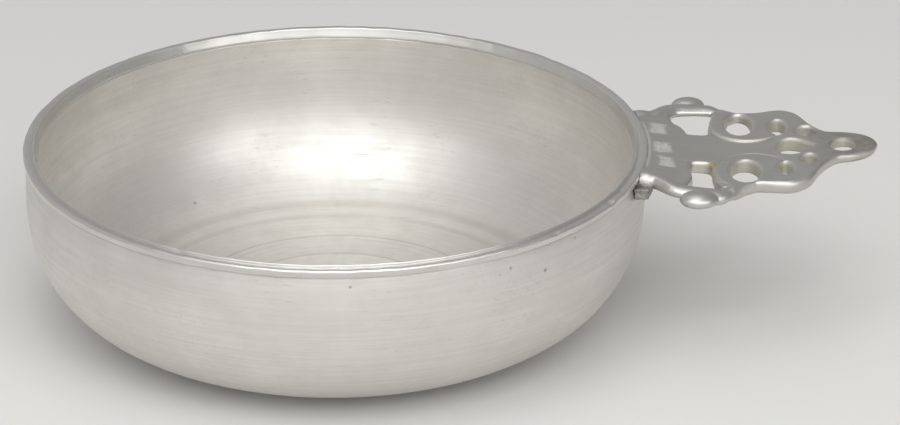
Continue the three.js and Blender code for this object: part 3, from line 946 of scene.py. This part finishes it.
def pewter(name, roughness, turned_marks, tone, anisotropy=0.0, spots=(), rings=False, dirt_and_shade=None,
           patches=()):
    material, n, shader = new_material(name)
    place = n.place()
    base, dark, dull = (tuple(c * tone for c in colour) for colour in (PEWTER, PEWTER_DARK, PEWTER_DULL))

    # Clouds, soft patches, stains, mottling and fine marks, turned or along the casting
    if turned_marks:
        cloud = turning_noise(n, place, 7, 130, 4.0)
        marks = turning_noise(n, place, 2.2, 1300)
        fine = turning_noise(n, place, 5.0, 3200, 1.0)
    else:
        cloud = n.noise(n.scaled(place, (0.25, 1.0, 1.0)), 160, 3.0, 0.55)
        marks = n.noise(n.scaled(place, (0.1, 1.0, 0.5)), 900, 2.0)
        fine = n.noise(n.scaled(place, (0.1, 1.0, 1.0), (0, 0, 9)), 1900, 1.0)
    mottle = n.noise(place, 210, 4.0, 0.6)
    colour = n.mix(n.ramp(cloud, 0.3, 0.75, 0.0, 0.5), base, dark)
    colour = n.mix(n.ramp(n.noise(place, 30, 2.0, 0.5), 0.4, 0.68, 0.0, 0.22), colour, dark)
    stains = n.ramp(n.noise(place, 95, 5.0, 0.65), 0.62, 0.78)
    colour = n.mix(n.times(stains, 0.35), colour, dull)
    colour = n.mix(n.ramp(mottle, 0.35, 0.75, 0.0, 0.16), colour, dark)
    colour = n.mix(n.ramp(marks, 0.3, 0.7, 0.0, 0.35), colour, dark)

    # Scratches in two directions
    rub = n.add(scratches(n, place, 2300, (0, 14, 0), 0.03, 0.63, 0.72),
                scratches(n, place, 1900, (0, -22, 8), 0.04, 0.64, 0.73))
    rub = n.math("MINIMUM", rub, 1.0)
    colour = n.mix(n.times(rub, 0.25), colour, dull)

    rough = n.add(roughness - 0.06, n.ramp(cloud, 0.3, 0.75, 0.0, 0.07))
    rough = n.add(rough, n.ramp(marks, 0.3, 0.7, 0.0, 0.06))
    rough = n.add(rough, n.times(rub, SCRATCH_ROUGHNESS))
    # Dark rings on the floor: turned lines, with painted shade in the gutter and at the floor's steps
    if rings:
        line = ring_lines_and_shade(n, place, marks)
        colour = n.mix(line, colour, dull)
        rough = n.add(rough, n.times(line, RING_ROUGHNESS))
    for centre, reach in spots:
        colour = n.mix(pit(n, place, centre, reach, mottle), colour, DIRT)
    # Dirt, tarnish and painted shade on the handle's openings
    if dirt_and_shade is not None:
        mask, soil_and_shade = dirt_and_shade(n, place)
        colour = n.mix(mask, colour, soil_and_shade)
        rough = n.add(rough, n.times(mask, DIRT_ROUGHNESS))
    normal = n.bump(marks, 0.25, MARKS_DEPTH)
    normal = n.bump(fine, 0.2, FINE_MARKS_DEPTH, normal)
    normal = n.bump(n.times(rub, -1.0), 0.25, SCRATCH_DEPTH, normal)
    if patches:
        hammered = n.noise(place, 1500, 3.0, 0.7)
        whole = 0.0
        for centre in patches:
            whole = n.larger(whole, patch_mask(n, place, centre, mottle))
        lit = n.times(whole, n.ramp(hammered, 0.3, 0.65, 0.25, 1.0))
        colour = n.mix(n.times(lit, 0.75), colour, HAMMERED)
        rough = n.add(rough, n.times(whole, PATCH_ROUGHNESS))
        normal = n.bump(n.times(hammered, whole), 0.8, HAMMERED_DEPTH, normal)

    n.set(shader.inputs["Base Color"], colour)
    n.set(shader.inputs["Roughness"], rough)
    n.set(shader.inputs["Normal"], normal)
    shader.inputs["Metallic"].default_value = 1.0
    if anisotropy:
        shader.inputs["Anisotropic"].default_value = anisotropy
        shader.inputs["Anisotropic Rotation"].default_value = 0.25
        tangent = n.node("ShaderNodeTangent", direction_type="RADIAL", axis="Z")
        n.set(shader.inputs["Tangent"], tangent.outputs[0])
    return material


for piece, material in (
    (bowl, pewter("pewter_bowl", 0.48, True, 1.09, anisotropy=0.35, spots=BOWL_SPOTS, rings=True)),
    (rim, pewter("pewter_rim", 0.31, True, 1.02)),
    (handle, pewter("pewter_handle", 0.34, False, 0.86, dirt_and_shade=handle_dirt_and_shade, patches=BARE_PATCHES)),
    (solder, pewter("solder", 0.46, False, 1.0)),
    (ledge, pewter("pewter_rough", 0.6, False, 0.56)),
):
    piece.data.materials.append(material)

for piece, node, slot in (
    (bowl, "bowl_body", "pewter_bowl"),
    (rim, "rim_band", "pewter_rim"),
    (handle, "handle", "pewter_handle"),
    (solder, "root_solder", "solder"),
    (ledge, "root_bracket", "pewter_dark"),
):
    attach(piece, "root")
    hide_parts(node)


# Floor: a little darker towards the back, painted shade for the light's falloff

FLOOR_FRONT = (0.77, 0.765, 0.75)
FLOOR_BACK = (0.68, 0.68, 0.675)
FLOOR_HALF = 6000


def floor_material():
    material, n, shader = new_material("studio_floor")
    # Painted shade: the floor's colour darkens towards the back
    away = n.ramp(n.split(n.place())[1], -0.1, 0.5)
    n.set(shader.inputs["Base Color"], n.mix(away, FLOOR_FRONT, FLOOR_BACK))
    shader.inputs["Roughness"].default_value = 0.7
    return material


FLOOR_CORNERS = [(x * FLOOR_HALF, y * FLOOR_HALF, 0) for x, y in ((-1, -1), (1, -1), (1, 1), (-1, 1))]
floor = mesh_object("studio_floor", FLOOR_CORNERS, [(0, 1, 2, 3)], smooth=False)
floor.data.materials.append(floor_material())


# Light

# Soft glows of the room: elevation, azimuth, how narrow and how strong
GLOWS = ((90, 270, 0, 0.37), (8, 270, 6, 1.02), (8, 200, 6, 0.15), (35, 135, 6, 0.2))

# Soft boxes round the object: elevation, azimuth and brightness
SOFT_BOXES = (
    (28, 225, 0.4), (28, 315, 1.15), (50, 215, 0.6), (50, 255, 1.41), (50, 290, 2.1), (50, 330, 0.7),
    (70, 235, 1.3), (87, 270, 1.25), (70, 90, 0.72),
)
BOX_WIDTH = 0.42
BOX_DISTANCE = 0.9
BOX_AIM = (0, 0, 0.02)
LIGHT_COLOUR = (1.0, 0.995, 0.985)


def direction_to(elevation, azimuth):
    el, az = math.radians(elevation), math.radians(azimuth)
    return Vector((math.cos(el) * math.cos(az), math.cos(el) * math.sin(az), math.sin(el)))


def studio_world():
    world = bpy.data.worlds.new("studio")
    bpy.context.scene.world = world
    world.use_nodes = True
    n = Nodes(world.node_tree)
    direction = n.node("ShaderNodeTexCoord").outputs["Generated"]
    total = 0.0
    for elevation, azimuth, narrowness, strength in GLOWS:
        facing = n.vector("DOT_PRODUCT", direction, direction_to(elevation, azimuth), "Value")
        fall = n.math("MULTIPLY_ADD", facing, narrowness, math.log(strength) - narrowness)
        total = n.add(total, n.math("EXPONENT", fall))
    background = n.node("ShaderNodeBackground")
    background.inputs["Color"].default_value = (*LIGHT_COLOUR, 1.0)
    n.set(background.inputs["Strength"], total)
    output = n.node("ShaderNodeOutputWorld")
    n.set(output.inputs["Surface"], background.outputs[0])


def soft_box(elevation, azimuth, brightness):
    light = bpy.data.lights.new("soft_box", "AREA")
    light.size = BOX_WIDTH
    light.energy = brightness * math.pi * BOX_WIDTH ** 2
    light.color = LIGHT_COLOUR
    lamp = bpy.data.objects.new("soft_box", light)
    away = direction_to(elevation, azimuth) * BOX_DISTANCE
    lamp.location = away + Vector(BOX_AIM)
    lamp.rotation_euler = (-away).to_track_quat("-Z", "Y").to_euler()
    bpy.context.scene.collection.objects.link(lamp)


studio_world()
for box in SOFT_BOXES:
    soft_box(*box)


# Camera: at the photograph's angle, beside the bowl's axis so that the frame needs no shift

ELEVATION = math.radians(24.03)
ROLL = math.radians(0.15)
FOCAL_PIXELS = 4681.0
FRAME_WIDTH = 900.0
SENSOR_WIDTH = 36.0
RIM_CENTRE_OFFSET = (-26.55, 16.64, -1087.5)

forward = Vector((0, math.cos(ELEVATION), -math.sin(ELEVATION)))
up = Vector((0, math.sin(ELEVATION), math.cos(ELEVATION)))
right = Vector((1, 0, 0))
right, up = math.cos(ROLL) * right + math.sin(ROLL) * up, math.cos(ROLL) * up - math.sin(ROLL) * right
offset = right * RIM_CENTRE_OFFSET[0] + up * RIM_CENTRE_OFFSET[1] - forward * RIM_CENTRE_OFFSET[2]
eye = (Vector((0, 0, RIM_HEIGHT)) - offset) * MM

camera_data = bpy.data.cameras.new("camera")
camera_data.sensor_width = SENSOR_WIDTH
camera_data.lens = FOCAL_PIXELS / FRAME_WIDTH * SENSOR_WIDTH
camera_data.clip_end = 50.0
camera = bpy.data.objects.new("camera", camera_data)
camera.matrix_world = Matrix((
    (right.x, up.x, -forward.x, eye.x),
    (right.y, up.y, -forward.y, eye.y),
    (right.z, up.z, -forward.z, eye.z),
    (0, 0, 0, 1),
))
bpy.context.scene.collection.objects.link(camera)
bpy.context.scene.camera = camera
bpy.context.scene.view_settings.view_transform = "Standard"
